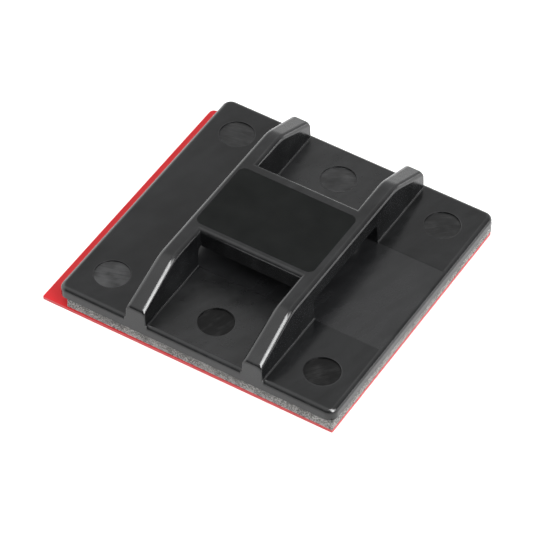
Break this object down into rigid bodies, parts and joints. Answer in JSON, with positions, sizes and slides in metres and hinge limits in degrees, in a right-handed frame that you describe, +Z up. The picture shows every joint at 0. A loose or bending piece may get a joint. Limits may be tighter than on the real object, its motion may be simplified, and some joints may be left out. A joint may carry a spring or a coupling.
{
  "type": "adhesive cable tie mount",
  "caption": "Square black plastic mount with ramped rails and a bridge over its tie slot, on a grey adhesive foam pad with a red peel-off liner.",
  "frame": {"origin": "centre of the square plate, on the underside of the release liner, where the part rests on a surface", "axes": "+Z up, away from the panel the mount is stuck to; +Y along the rails and the cable bundle; +X along the tie slot, away from the liner's pull tab"},
  "size_m": [0.0298, 0.0282, 0.0064],
  "materials": {
    "black_nylon": "semi-gloss moulded, matte on the bridge",
    "grey_foam": "matte mottled acrylic foam",
    "red_film": "smooth release film"
  },
  "bodies": {
    "root": {"mount_body": "black_nylon", "foam_pad": "grey_foam", "release_liner": "red_film"}
  },
  "joints": []
}
